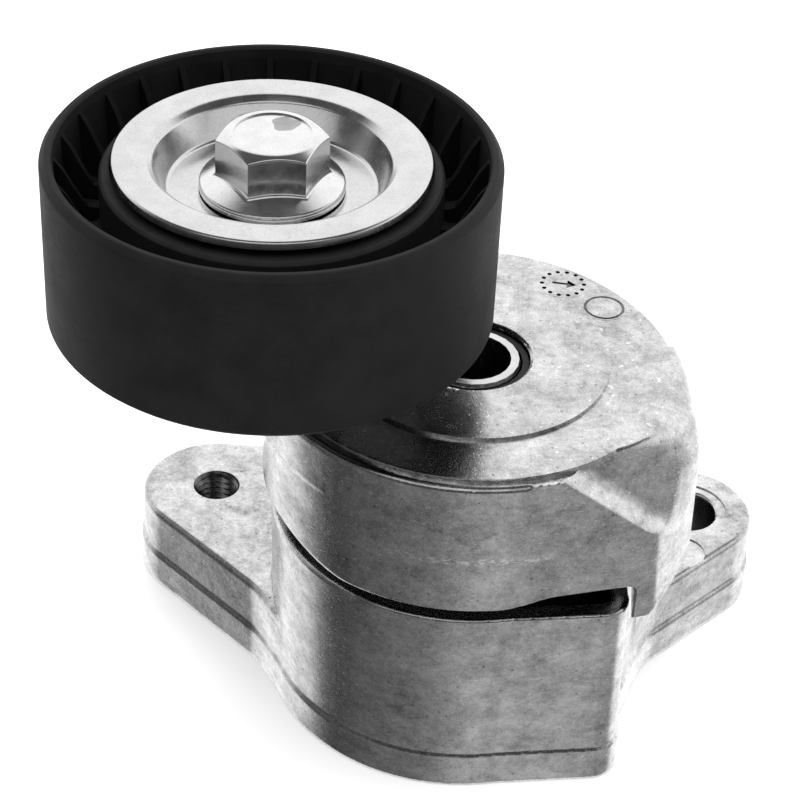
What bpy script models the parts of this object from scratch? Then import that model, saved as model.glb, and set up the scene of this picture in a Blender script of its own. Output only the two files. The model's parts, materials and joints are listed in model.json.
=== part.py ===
"""Belt tensioner idler: sprung die-cast arm on a die-cast base, with a smooth plastic pulley.

Frame: Z is the arm's pivot axis and Z = 0 is the face that bolts to the engine.
The pulley hangs over the -X side, the two mounting ears are towards +Y, and the
arm's stop tang is at the +X, -Y corner. All sizes are in metres.
"""
import math

import bmesh
import bpy
from mathutils import Matrix, Vector

# ---- driving dimensions -----------------------------------------------------
GAP = 0.0003                    # running gap between touching pieces

# base casting
CUP_RADIUS = 0.0320
CUP_BORE = 0.0284
RIM_Z = 0.03625                 # top of the base cup
FLOOR_Z = 0.0050                # inside floor of the base cup
BAND_Z = 0.0060                 # height of the parting-line band round the foot
BAND_STEP = 0.0005              # how far that band stands proud
EAR_Z = 0.0160                  # top of the two ears
EAR_LEFT = (-0.04375, 0.0250)
EAR_LEFT_RADIUS = 0.0132
EAR_RIGHT = (0.0415, 0.0248)
EAR_RIGHT_RADIUS = 0.0120
TAP_RADIUS = 0.0039             # M8 tapped hole, left ear
TAP_CHAMFER = 0.00045
BOLT_HOLE_RADIUS = 0.0056       # plain bolt hole, right ear
SPOT_RADIUS = 0.0075
SPOT_DEPTH = 0.0004
BASE_HUB_RADIUS = 0.0135
BASE_HUB_Z = 0.0200
LOBE_SIDE_X = 0.0271            # right side of the base's stop lobe
LOBE_CORNER = 0.0045            # its rounded front corner
LOBE_WALL = 0.0030
EAR_FILLET = 0.0100             # hollow corner between an ear's front and the cup

# pivot
TUBE_RADIUS = 0.0080
TUBE_BORE = 0.0064
TUBE_TOP_Z = 0.0648
BUSH_RADIUS = 0.0095

# arm casting
ARM_RADIUS = 0.0335
ARM_BORE = 0.0298
ARM_BOTTOM_Z = 0.0393
RING_RADIUS = 0.0324            # raised ring on the arm's top
RING_Z = 0.0647
SHOULDER_Z = 0.0636             # ledge outside the ring
DISC_RADIUS = 0.0224            # raised disc inside the ring
DISC_Z = 0.0655
ARM_ROOF_Z = 0.0595             # underside of the arm's top
ARM_HUB_RADIUS = 0.0132
ARM_HUB_BOTTOM_Z = 0.0235
TANG_RADIUS = 0.0394            # outer side of the stop tang, round the pivot
TANG_BOTTOM_Z = 0.0340
TANG_CORNER = (0.0296, -0.0265)
TANG_TOP_Z = 0.0504             # height of the tang's front corner
TANG_STOP_X = LOBE_SIDE_X + GAP
TANG_REAR_ANGLE = -23           # degrees: where the tang's outer side turns back to the wall
TANG_REAR = (0.0330, 0.0047)    # where it meets the round wall
FRONT_TANGENT = math.radians(-74)   # where the tang's front face leaves the round wall
RELIEF_Z = 0.0407               # wall's lower edge where it passes over the base's lobe

# pulley and its bearing (17 x 40 x 12)
PULLEY_AXIS = (-0.0322, -0.0040)
PULLEY_RADIUS = 0.0350
PULLEY_BOTTOM_Z = 0.0755
PULLEY_TOP_Z = 0.1035
PULLEY_WALL = 0.0022
HUB_RADIUS = 0.0262
HUB_TOP_Z = 0.1002
HUB_BOTTOM_Z = 0.0822
WEB_Z = (0.0880, 0.0912)
RIB_COUNT = 28
RIB_WIDTH = 0.0010
RIB_TURN = math.radians(4.9)
RIB_DROP = 0.0017               # ribs meet the rim's wall this far below its top
RIB_HUB_Z = 0.0936              # and the hub's wall at this height
POST_RADIUS = 0.0112
POST_TOP_Z = 0.0800
BOSS_RADIUS = 0.0145
BOSS_BOTTOM_Z = 0.0615
NECK_ROOT_Z = 0.0545            # where the neck's underside leaves the cup
NECK_ROOT_X = -0.0265
THREAD_RADIUS = 0.0049          # M10 shank
THREAD_FLOOR_Z = 0.0632         # bottom of its blind hole
BEARING_Z = 0.0901              # middle of the bearing
BEARING_HALF = 0.0060
BEARING_OUTER = 0.0200
BEARING_BORE = 0.0088
PITCH_RADIUS = 0.01425
BALL_RADIUS = 0.0031
BALL_COUNT = 8
GROOVE_RADIUS = BALL_RADIUS + 0.0002

# clamped stack
REAR_SHIELD_Z = 0.0803
SHIELD_RADIUS = 0.0246
SHIELD_TOP_Z = 0.1026
SHIELD_FLOOR_Z = 0.0971
SHIELD_THICKNESS = 0.0007
FLANGE_RADIUS = 0.0112
FLANGE_BOTTOM_Z = SHIELD_FLOOR_Z + GAP
HEX_CORNER_RADIUS = 0.00866     # 15 mm across flats
HEX_BOTTOM_Z = 0.0992
BOLT_TOP_Z = 0.1067

# spring
SPRING_RADIUS = 0.0208
WIRE_RADIUS = 0.0027
SPRING_Z = (0.0090, 0.0555)
SPRING_TURNS = 5.5

BIG = 40                        # steps round a large turned piece
SMALL = 24                      # steps round a small one


# ---- scene, materials and basic makers --------------------------------------
for old in list(bpy.data.objects):
    bpy.data.objects.remove(old, do_unlink=True)

parts = bpy.data.collections.new("belt_tensioner_idler")
cutters = bpy.data.collections.new("cutters")
for group in (parts, cutters):
    bpy.context.scene.collection.children.link(group)


def make_material(name, colour, metallic, roughness):
    material = bpy.data.materials.new(name)
    material.use_nodes = True
    shader = material.node_tree.nodes["Principled BSDF"]
    shader.inputs["Base Color"].default_value = (*colour, 1.0)
    shader.inputs["Metallic"].default_value = metallic
    shader.inputs["Roughness"].default_value = roughness
    return material


CAST = make_material("cast_aluminium", (0.46, 0.46, 0.46), 1.0, 0.50)
PLASTIC = make_material("black_plastic", (0.022, 0.022, 0.023), 0.0, 0.42)
ZINC = make_material("zinc_plated_steel", (0.72, 0.72, 0.71), 1.0, 0.28)
STEEL = make_material("bright_steel", (0.62, 0.62, 0.62), 1.0, 0.22)
SPRING_STEEL = make_material("spring_steel", (0.10, 0.10, 0.11), 1.0, 0.45)
POLYMER = make_material("dark_polymer", (0.03, 0.03, 0.03), 0.0, 0.55)
RUBBER = make_material("seal_rubber", (0.018, 0.018, 0.018), 0.0, 0.70)


def add_object(name, mesh, material=None, cutter=False):
    """Put a mesh in the scene as a part, or as a hidden cutter."""
    thing = bpy.data.objects.new(name, mesh)
    (cutters if cutter else parts).objects.link(thing)
    if material:
        mesh.materials.append(material)
    if cutter:
        thing.hide_render = True
        thing.display_type = 'WIRE'
    return thing


def turned(name, profile, material=None, steps=SMALL, axis=(0.0, 0.0), cutter=False, ring=False):
    """Turn (radius, z) points round a vertical axis. They run down the outer side."""
    mesh = bpy.data.meshes.new(name)
    count = len(profile)
    edges = [(i, i + 1) for i in range(count - 1)]
    if ring:
        edges.append((count - 1, 0))
    mesh.from_pydata([(radius, 0.0, z) for radius, z in profile], edges, [])
    thing = add_object(name, mesh, material, cutter)
    thing.location = (axis[0], axis[1], 0.0)
    screw = thing.modifiers.new("turn", 'SCREW')
    screw.steps = steps
    screw.render_steps = steps
    screw.use_merge_vertices = True
    screw.merge_threshold = 0.00001
    return thing


def cylinder(name, radius, z_low, z_high, axis=(0.0, 0.0), steps=SMALL, material=None, cutter=False):
    """A plain round bar between two heights."""
    mesh = bpy.data.meshes.new(name)
    shape = bmesh.new()
    place = Matrix.Translation((0.0, 0.0, (z_low + z_high) / 2))
    bmesh.ops.create_cone(shape, cap_ends=True, segments=steps, radius1=radius, radius2=radius,
                          depth=z_high - z_low, matrix=place)
    shape.to_mesh(mesh)
    shape.free()
    thing = add_object(name, mesh, material, cutter)
    thing.location = (axis[0], axis[1], 0.0)
    return thing


def prism(name, outline, z_low, z_high, material=None, cutter=False):
    """A flat outline, thickened between two heights, as a welded mesh."""
    curve = bpy.data.curves.new(name + "_outline", 'CURVE')
    curve.dimensions = '2D'
    curve.fill_mode = 'BOTH'
    curve.extrude = (z_high - z_low) / 2
    spline = curve.splines.new('POLY')
    spline.points.add(len(outline) - 1)
    for point, (x, y) in zip(spline.points, outline):
        point.co = (x, y, 0.0, 1.0)
    spline.use_cyclic_u = True
    guide = bpy.data.objects.new(name + "_outline", curve)
    bpy.context.scene.collection.objects.link(guide)
    guide.location.z = (z_low + z_high) / 2
    bpy.context.view_layer.update()
    mesh = bpy.data.meshes.new_from_object(guide.evaluated_get(bpy.context.evaluated_depsgraph_get()))
    shape = bmesh.new()
    shape.from_mesh(mesh)
    bmesh.ops.remove_doubles(shape, verts=shape.verts, dist=0.000001)
    bmesh.ops.recalc_face_normals(shape, faces=shape.faces)
    bmesh.ops.transform(shape, matrix=guide.matrix_world, verts=shape.verts)
    shape.to_mesh(mesh)
    shape.free()
    bpy.data.objects.remove(guide, do_unlink=True)
    return add_object(name, mesh, material, cutter)


def combine(target, other, operation):
    """Boolean one object with another through a live modifier."""
    change = target.modifiers.new(other.name, 'BOOLEAN')
    change.operation = operation
    change.solver = 'EXACT'
    change.object = other


def join(target, other):
    combine(target, other, 'UNION')


def cut(target, other):
    combine(target, other, 'DIFFERENCE')


def arc(centre, radius, start, end, steps):
    """Points along an arc, angles in degrees, anticlockwise when end > start."""
    points = []
    for step in range(steps + 1):
        angle = math.radians(start + (end - start) * step / steps)
        points.append((centre[0] + radius * math.cos(angle), centre[1] + radius * math.sin(angle)))
    return points


# ---- base -------------------------------------------------------------------
def ear_front(centre, radius, side, wall, grow):
    """One ear: round end, 45 degree front and the hollow corner that meets the cup or the lobe."""
    outward = Vector((side, -1.0)).normalized()
    offset = Vector(centre).dot(outward) + radius
    if wall is None:            # the corner runs into the round cup
        reach = CUP_RADIUS + grow + EAR_FILLET
        across = offset + EAR_FILLET
        along = math.sqrt(reach ** 2 - across ** 2)
        middle = outward * across + Vector((side, 1.0)).normalized() * along
        end = math.degrees(math.atan2(-middle.y, -middle.x))
    else:                       # the corner runs into the lobe's straight side
        x = wall + EAR_FILLET
        middle = Vector((x, side * x - (offset + EAR_FILLET) * math.sqrt(2)))
        end = 180.0
    start = math.degrees(math.atan2(-outward.y, -outward.x))
    if side < 0:
        end = end if end <= start else end - 360
        tip = arc(centre, radius, 90, 225, 10)
    else:
        end = end if end >= start else end + 360
        tip = arc(centre, radius, 90, -45, 10)
    return tip + arc(middle, EAR_FILLET, start, end, 6)


def ear_outline(grow):
    """Both ears, with a straight back; the cup and its lobe cover the front gap."""
    left = ear_front(EAR_LEFT, EAR_LEFT_RADIUS + grow, -1, None, grow)
    right = ear_front(EAR_RIGHT, EAR_RIGHT_RADIUS + grow, 1, LOBE_SIDE_X + grow, grow)
    return left + [(-0.0200, -0.0080), (0.0200, -0.0120)] + right[::-1]


def lobe_outline(grow, corner, steps=8):
    """Stop lobe: a front face tangent to the cup, a rounded corner and a straight side."""
    lean = math.radians(-83)
    radius = CUP_RADIUS + grow
    start = (radius * math.cos(lean), radius * math.sin(lean))
    side = LOBE_SIDE_X + grow
    direction = (-math.sin(lean), math.cos(lean))
    centre_x = side - corner
    reach = (centre_x - corner * math.cos(lean) * -1 - start[0]) / direction[0]
    centre_y = start[1] + reach * direction[1] - corner * math.sin(lean)
    corner_arc = arc((centre_x, centre_y), corner, -83, 0, steps)
    return [start] + corner_arc + [(side, -0.006), (0.004, -0.006)]


def make_base():
    base = prism("base_housing", ear_outline(0.0), 0.0010, EAR_Z, CAST)
    join(base, prism("foot_band", ear_outline(BAND_STEP), 0.0, BAND_Z, cutter=True))
    join(base, cylinder("cup_band", CUP_RADIUS + BAND_STEP, 0.0, BAND_Z, steps=BIG, cutter=True))
    join(base, prism("lobe_band", lobe_outline(BAND_STEP, LOBE_CORNER), 0.0, BAND_Z, cutter=True))
    join(base, cylinder("cup_wall", CUP_RADIUS, 0.0020, RIM_Z, steps=BIG, cutter=True))
    join(base, prism("lobe_wall", lobe_outline(0.0, LOBE_CORNER), 0.0020, RIM_Z, cutter=True))
    pocket = lobe_outline(-LOBE_WALL, 0.0020)
    cut(base, prism("lobe_pocket", pocket, 0.0100, RIM_Z + 0.01, cutter=True))
    rise = RIM_Z + 0.01
    hollow = [(CUP_BORE, rise), (CUP_BORE, FLOOR_Z), (BASE_HUB_RADIUS, FLOOR_Z),
              (BASE_HUB_RADIUS, BASE_HUB_Z), (TUBE_RADIUS + GAP, BASE_HUB_Z),
              (TUBE_RADIUS + GAP, FLOOR_Z), (0.0, FLOOR_Z)]
    cut(base, turned("cup_hollow", [(0.0, rise)] + hollow, steps=BIG, cutter=True))
    tap = [(0.0, 0.03), (TAP_RADIUS + TAP_CHAMFER + 0.001, 0.03),
           (TAP_RADIUS + TAP_CHAMFER + 0.001, EAR_Z + 0.001), (TAP_RADIUS, EAR_Z - TAP_CHAMFER),
           (TAP_RADIUS, -0.01), (0.0, -0.01)]
    cut(base, turned("tapped_hole", tap, steps=24, axis=EAR_LEFT, cutter=True))
    plain = [(0.0, 0.03), (SPOT_RADIUS, 0.03), (SPOT_RADIUS, EAR_Z - SPOT_DEPTH),
             (BOLT_HOLE_RADIUS, EAR_Z - SPOT_DEPTH), (BOLT_HOLE_RADIUS, -0.01), (0.0, -0.01)]
    cut(base, turned("bolt_hole", plain, steps=24, axis=EAR_RIGHT, cutter=True))


# ---- pivot, spring and damping ----------------------------------------------
def make_pivot():
    """Steel tube pressed in the base's hub, and the two bushes and washer the arm turns on."""
    low = FLOOR_Z + GAP
    turned("pivot_tube", [(TUBE_BORE, TUBE_TOP_Z), (TUBE_RADIUS - 0.0003, TUBE_TOP_Z),
                          (TUBE_RADIUS, TUBE_TOP_Z - 0.0006), (TUBE_RADIUS, low), (TUBE_BORE, low)],
           ZINC, ring=True)
    inner = TUBE_RADIUS + GAP
    outer = BUSH_RADIUS - GAP / 2
    split = 0.0440
    for name, low, high in (("pivot_bush_upper", split + GAP, TUBE_TOP_Z - 0.0006),
                            ("pivot_bush_lower", ARM_HUB_BOTTOM_Z + 0.0005, split)):
        turned(name, [(inner, high), (outer, high), (outer, low), (inner, low)], POLYMER, ring=True)
    turned("thrust_washer", [(inner, 0.0230), (0.0134, 0.0230), (0.0134, 0.0205), (inner, 0.0205)],
           POLYMER, ring=True)


def make_damping():
    """Friction ring in the base's mouth, with a steel band inside it."""
    skirt = 0.0278
    turned("damping_ring", [(0.0262, 0.0420), (skirt, 0.0420), (skirt, 0.0290), (0.0262, 0.0290)],
           POLYMER, steps=BIG, ring=True)
    turned("damping_band", [(0.0249, 0.0410), (0.0258, 0.0410), (0.0258, 0.0300), (0.0249, 0.0300)],
           SPRING_STEEL, steps=BIG, ring=True)
    turned("spring_seat", [(0.0166, 0.0085), (0.0238, 0.0085), (0.0238, 0.0055),
                           (0.0142, 0.0055), (0.0142, 0.0170), (0.0158, 0.0170), (0.0158, 0.0085)],
           POLYMER, ring=True)


def make_spring():
    """Round-wire torsion spring, its two ends laid flat for most of a turn."""
    curve = bpy.data.curves.new("torsion_spring", 'CURVE')
    curve.dimensions = '3D'
    curve.bevel_depth = WIRE_RADIUS
    curve.bevel_resolution = 1
    curve.use_fill_caps = True
    low = SPRING_Z[0] + WIRE_RADIUS
    high = SPRING_Z[1] - WIRE_RADIUS
    per_turn = 10
    count = int(SPRING_TURNS * per_turn) + 1
    spline = curve.splines.new('POLY')
    spline.points.add(count - 1)
    for step, point in enumerate(spline.points):
        along = step / (count - 1)
        angle = 2 * math.pi * SPRING_TURNS * along
        point.co = (SPRING_RADIUS * math.cos(angle), SPRING_RADIUS * math.sin(angle),
                    low + (high - low) * along, 1.0)
    guide = bpy.data.objects.new("spring_guide", curve)
    bpy.context.scene.collection.objects.link(guide)
    bpy.context.view_layer.update()
    mesh = bpy.data.meshes.new_from_object(guide.evaluated_get(bpy.context.evaluated_depsgraph_get()))
    shape = bmesh.new()
    shape.from_mesh(mesh)
    bmesh.ops.remove_doubles(shape, verts=shape.verts, dist=0.00001)
    bmesh.ops.recalc_face_normals(shape, faces=shape.faces)
    shape.to_mesh(mesh)
    shape.free()
    bpy.data.objects.remove(guide, do_unlink=True)
    add_object("torsion_spring", mesh, SPRING_STEEL)


# ---- arm --------------------------------------------------------------------
def tang_side():
    """Outer side of the tang: an arc round the pivot, then a straight run back to the wall."""
    corner_angle = math.degrees(math.atan2(TANG_CORNER[1], TANG_CORNER[0]))
    radius = math.hypot(*TANG_CORNER)
    side = [TANG_CORNER]
    for step in range(1, 6):
        share = step / 5
        angle = math.radians(corner_angle + (TANG_REAR_ANGLE - corner_angle) * share)
        size = radius + (TANG_RADIUS - radius) * share
        side.append((size * math.cos(angle), size * math.sin(angle)))
    return side


def tang_outline():
    start = (ARM_RADIUS * math.cos(FRONT_TANGENT), ARM_RADIUS * math.sin(FRONT_TANGENT))
    return [(0.006, -0.012), start] + tang_side() + [TANG_REAR, (0.020, 0.004)]


def tip_clearance_outline():
    """Plan of everything that is cleared from under the tang, leaving the tip beside the lobe."""
    last = tang_side()[-1]
    share = 0.55
    rear = math.atan2(last[1] + (TANG_REAR[1] - last[1]) * share, last[0] + (TANG_REAR[0] - last[0]) * share)
    radius = ARM_RADIUS - 0.0008
    stop_x = TANG_STOP_X - 0.0004
    inner = arc((0.0, 0.0), radius, -math.degrees(math.acos(stop_x / radius)), math.degrees(rear), 5)
    far = 0.050
    return ([(stop_x, -far)] + inner + [(far * math.cos(rear), far * math.sin(rear)), (far, 0.020),
                                        (-0.010, 0.020), (-0.010, -far)])


def slanted_cutter(name, points, above=True):
    """A block with one face on the plane through three points, above or below it."""
    a, b, c = (Vector(point) for point in points)
    normal = (b - a).cross(c - a).normalized()
    if (normal.z < 0) == above:
        normal.negate()
    size = 0.05
    mesh = bpy.data.meshes.new(name)
    shape = bmesh.new()
    bmesh.ops.create_cube(shape, size=size)
    shape.to_mesh(mesh)
    shape.free()
    block = add_object(name, mesh, cutter=True)
    block.rotation_mode = 'QUATERNION'
    block.rotation_quaternion = normal.to_track_quat('Z', 'Y')
    block.location = (a + b + c) / 3 + normal * (size / 2)
    return block


def make_tang():
    """Stop tang: a sloping ledge behind its front face and a falling shoulder beside the ring."""
    tang = prism("tang", tang_outline(), TANG_BOTTOM_Z, RING_Z - 0.0004, cutter=True)
    cut(tang, prism("tip_clearance", tip_clearance_outline(), 0.020, ARM_BOTTOM_Z + 0.0005, cutter=True))
    notch = slanted_cutter("tang_hollow_side", ((0.0174, -0.0276, 0.0639), (0.0299, -0.0224, TANG_TOP_Z),
                                                (0.0258, -0.0196, RING_Z)))
    ledge = slanted_cutter("tang_ledge", ((0.0145, -0.0302, SHOULDER_Z), (0.0145, -0.0250, SHOULDER_Z),
                                          (*TANG_CORNER, TANG_TOP_Z)))
    combine(notch, ledge, 'INTERSECT')
    cut(tang, notch)
    cut(tang, slanted_cutter("tang_shoulder", ((0.0262, -0.0190, 0.0646), (0.0332, 0.0030, 0.0646),
                                               (0.0366, -0.0150, 0.0600))))
    front = [(-0.0100, -0.0400), (0.0180, -0.0400), (0.0180, -0.0200), (-0.0100, -0.0200)]
    cut(tang, prism("tang_front_top", front, SHOULDER_Z - 0.0003, 0.0700, cutter=True))
    cut(tang, cylinder("tang_hollow", ARM_BORE + 0.0002, 0.0, ARM_ROOF_Z + 0.0003, steps=BIG, cutter=True))
    return tang


def neck_outline():
    """Plan of the neck that carries the pulley's boss."""
    boss = arc(PULLEY_AXIS, BOSS_RADIUS, 100, 250, 14)
    return [(-0.0240, 0.0200)] + boss + [(-0.0246, -0.0224), (-0.0100, -0.0100), (-0.0100, 0.0100)]


def make_neck():
    """Neck between cup and boss; its underside slopes up away from the cup."""
    neck = prism("neck", neck_outline(), NECK_ROOT_Z, RING_Z - 0.0003, cutter=True)
    slope = ((NECK_ROOT_X, -0.02, NECK_ROOT_Z), (NECK_ROOT_X, 0.02, NECK_ROOT_Z),
             (NECK_ROOT_X - (BOSS_BOTTOM_Z - NECK_ROOT_Z), 0.0, BOSS_BOTTOM_Z))
    cut(neck, slanted_cutter("neck_slope", slope, above=False))
    inboard = slope[2][0] + 0.0010
    under = [(-0.060, -0.025), (inboard, -0.025), (inboard, 0.025), (-0.060, 0.025)]
    cut(neck, prism("neck_under", under, 0.050, BOSS_BOTTOM_Z + 0.0002, cutter=True))
    cut(neck, cylinder("neck_hollow", ARM_BORE + 0.0002, 0.0, ARM_ROOF_Z + 0.0003, steps=BIG, cutter=True))
    return neck


def make_arm():
    wall = [(0.0, DISC_Z), (DISC_RADIUS, DISC_Z), (DISC_RADIUS, RING_Z), (RING_RADIUS, RING_Z),
            (RING_RADIUS, SHOULDER_Z), (ARM_RADIUS - 0.0006, SHOULDER_Z),
            (ARM_RADIUS, SHOULDER_Z - 0.0007), (ARM_RADIUS, ARM_BOTTOM_Z), (ARM_BORE, ARM_BOTTOM_Z),
            (ARM_BORE, ARM_ROOF_Z), (ARM_HUB_RADIUS, ARM_ROOF_Z), (ARM_HUB_RADIUS, ARM_HUB_BOTTOM_Z),
            (0.0, ARM_HUB_BOTTOM_Z)]
    arm = turned("arm_casting", wall, CAST, steps=BIG)
    join(arm, make_neck())
    post = [(0.0, POST_TOP_Z), (POST_RADIUS - 0.0006, POST_TOP_Z), (POST_RADIUS, POST_TOP_Z - 0.0006),
            (POST_RADIUS + 0.0006, RING_Z + 0.0010), (BOSS_RADIUS - 0.0004, RING_Z),
            (BOSS_RADIUS - 0.0004, BOSS_BOTTOM_Z), (0.0, BOSS_BOTTOM_Z)]
    join(arm, turned("boss_post", post, axis=PULLEY_AXIS, cutter=True))
    join(arm, make_tang())
    relief = [(0.0120, -0.0360), (TANG_STOP_X, -0.0360), (TANG_STOP_X, -0.0120), (0.0120, -0.0120)]
    cut(arm, prism("lobe_relief", relief, 0.030, RELIEF_Z, cutter=True))
    cut(arm, cylinder("pivot_bore", BUSH_RADIUS, 0.0, 0.1, cutter=True))
    cut(arm, cylinder("thread_bore", THREAD_RADIUS + GAP, THREAD_FLOOR_Z, 0.1, axis=PULLEY_AXIS, cutter=True))
    return arm


# ---- pulley -----------------------------------------------------------------
def make_pulley():
    inner = PULLEY_RADIUS - PULLEY_WALL
    edge = 0.0009
    bore = BEARING_OUTER + GAP
    web_low, web_high = WEB_Z
    profile = [(inner + 0.0004, PULLEY_TOP_Z), (PULLEY_RADIUS - edge, PULLEY_TOP_Z),
               (PULLEY_RADIUS, PULLEY_TOP_Z - edge), (PULLEY_RADIUS, PULLEY_BOTTOM_Z + edge),
               (PULLEY_RADIUS - edge, PULLEY_BOTTOM_Z), (inner, PULLEY_BOTTOM_Z),
               (inner, web_low), (HUB_RADIUS, web_low), (HUB_RADIUS, HUB_BOTTOM_Z),
               (bore, HUB_BOTTOM_Z), (bore, HUB_TOP_Z - 0.0006), (bore + 0.0006, HUB_TOP_Z),
               (HUB_RADIUS - 0.0005, HUB_TOP_Z), (HUB_RADIUS, HUB_TOP_Z - 0.0005),
               (HUB_RADIUS, web_high), (inner, web_high)]
    pulley = turned("pulley_body", profile, PLASTIC, steps=52, axis=PULLEY_AXIS, ring=True)
    join(pulley, pulley_ribs(inner))


def pulley_ribs(inner):
    """Radial ribs whose tops fall steeply from the rim to the hub."""
    low = PULLEY_BOTTOM_Z + 0.0040
    hub, rim = HUB_RADIUS - 0.0008, inner + 0.0008
    outline = [(hub, low), (rim, low), (rim, PULLEY_TOP_Z - RIB_DROP), (inner, PULLEY_TOP_Z - RIB_DROP),
               (inner - 0.0030, RIB_HUB_Z + 0.0030), (inner - 0.0047, RIB_HUB_Z + 0.0002), (hub, RIB_HUB_Z)]
    one = prism("rib", outline, -RIB_WIDTH / 2, RIB_WIDTH / 2, cutter=True)
    upright = Matrix.Rotation(math.radians(90), 4, 'X')
    shape = bmesh.new()
    for index in range(RIB_COUNT):
        turn = Matrix.Rotation(RIB_TURN + 2 * math.pi * index / RIB_COUNT, 4, 'Z')
        copy = one.data.copy()
        copy.transform(turn @ upright)
        shape.from_mesh(copy)
        bpy.data.meshes.remove(copy)
    bpy.data.objects.remove(one, do_unlink=True)
    mesh = bpy.data.meshes.new("pulley_ribs")
    shape.to_mesh(mesh)
    shape.free()
    ribs = add_object("pulley_ribs", mesh, cutter=True)
    ribs.location = (*PULLEY_AXIS, 0.0)
    return ribs


def groove(radius, side, steps=4):
    """Ball groove points, from the top shoulder to the bottom one."""
    points = []
    reach = math.radians(58)
    for step in range(steps + 1):
        angle = reach - 2 * reach * step / steps
        points.append((radius + side * GROOVE_RADIUS * math.cos(angle),
                       BEARING_Z + GROOVE_RADIUS * math.sin(angle)))
    return points


def make_bearing():
    top = BEARING_Z + BEARING_HALF
    bottom = BEARING_Z - BEARING_HALF
    inner_groove = groove(PITCH_RADIUS, -1)
    shoulder = inner_groove[0][0]
    turned("bearing_inner_ring",
           [(BEARING_BORE, top), (shoulder, top)] + inner_groove + [(shoulder, bottom), (BEARING_BORE, bottom)],
           STEEL, axis=PULLEY_AXIS, ring=True)
    outer_groove = groove(PITCH_RADIUS, 1)[::-1]
    shoulder = outer_groove[0][0]
    turned("bearing_outer_ring",
           [(shoulder, top), (BEARING_OUTER, top), (BEARING_OUTER, bottom), (shoulder, bottom)] + outer_groove,
           STEEL, axis=PULLEY_AXIS, ring=True)
    seal_inner = inner_groove[0][0] + GAP
    seal_outer = outer_groove[0][0] - GAP
    for name, height in (("bearing_seal_front", top - 0.0010), ("bearing_seal_rear", bottom + 0.0002)):
        turned(name, [(seal_inner, height + 0.0008), (seal_outer, height + 0.0008),
                      (seal_outer, height), (seal_inner, height)],
               RUBBER, axis=PULLEY_AXIS, ring=True)
    make_balls()
    make_cage()


def ball_places():
    for index in range(BALL_COUNT):
        angle = 2 * math.pi * index / BALL_COUNT
        yield (PITCH_RADIUS * math.cos(angle), PITCH_RADIUS * math.sin(angle), BEARING_Z)


def make_balls():
    """Each ball is its own object; they share one mesh."""
    mesh = bpy.data.meshes.new("bearing_ball")
    shape = bmesh.new()
    bmesh.ops.create_uvsphere(shape, u_segments=10, v_segments=6, radius=BALL_RADIUS)
    shape.to_mesh(mesh)
    shape.free()
    mesh.materials.append(STEEL)
    for number, (x, y, z) in enumerate(ball_places(), start=1):
        ball = add_object(f"bearing_ball_{number}", mesh)
        ball.location = (PULLEY_AXIS[0] + x, PULLEY_AXIS[1] + y, z)


def ball_pockets():
    mesh = bpy.data.meshes.new("cage_pockets")
    shape = bmesh.new()
    for place in ball_places():
        bmesh.ops.create_uvsphere(shape, u_segments=8, v_segments=5, radius=BALL_RADIUS + GAP * 1.5,
                                  matrix=Matrix.Translation(place))
    shape.to_mesh(mesh)
    shape.free()
    pockets = add_object("cage_pockets", mesh, cutter=True)
    pockets.location = (*PULLEY_AXIS, 0.0)
    return pockets


def make_cage():
    half = 0.0043
    cage = turned("bearing_cage",
                  [(0.0136, BEARING_Z + half), (0.0149, BEARING_Z + half),
                   (0.0149, BEARING_Z - half), (0.0136, BEARING_Z - half)],
                  POLYMER, axis=PULLEY_AXIS, ring=True)
    cut(cage, ball_pockets())


# ---- clamped stack on the pulley's axis ---------------------------------------
def make_stack():
    hole = THREAD_RADIUS + GAP
    rear = REAR_SHIELD_Z
    turned("rear_dust_shield", [(hole, rear + 0.0008), (0.0236, rear + 0.0008), (0.0244, rear + 0.0004),
                                (0.0244, rear - 0.0014), (0.0236, rear - 0.0014), (0.0236, rear),
                                (hole, rear)],
           ZINC, steps=BIG, axis=PULLEY_AXIS, ring=True)
    flange_low = rear + 0.0008 + GAP
    flange_high = BEARING_Z - BEARING_HALF - GAP
    sleeve_top = BEARING_Z + BEARING_HALF - 0.0001
    turned("bearing_sleeve", [(hole, sleeve_top), (BEARING_BORE - GAP, sleeve_top),
                              (BEARING_BORE - GAP, flange_high), (0.0112, flange_high),
                              (0.0112, flange_low), (hole, flange_low)],
           STEEL, axis=PULLEY_AXIS, ring=True)
    thick = SHIELD_THICKNESS
    floor, top = SHIELD_FLOOR_Z, SHIELD_TOP_Z
    shield = [(hole, floor), (0.0150, floor), (0.0160, floor + 0.0009), (0.0182, top - 0.0006),
              (0.0192, top), (SHIELD_RADIUS - 0.0006, top), (SHIELD_RADIUS, top - 0.0005),
              (SHIELD_RADIUS, top - 0.0011), (SHIELD_RADIUS - thick, top - 0.0011),
              (SHIELD_RADIUS - thick, top - thick), (0.0190, top - thick),
              (0.0166, floor + 0.0002), (0.0154, floor - thick), (hole, floor - thick)]
    turned("front_dust_shield", shield, ZINC, steps=BIG, axis=PULLEY_AXIS, ring=True)
    make_bolt()


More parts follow.
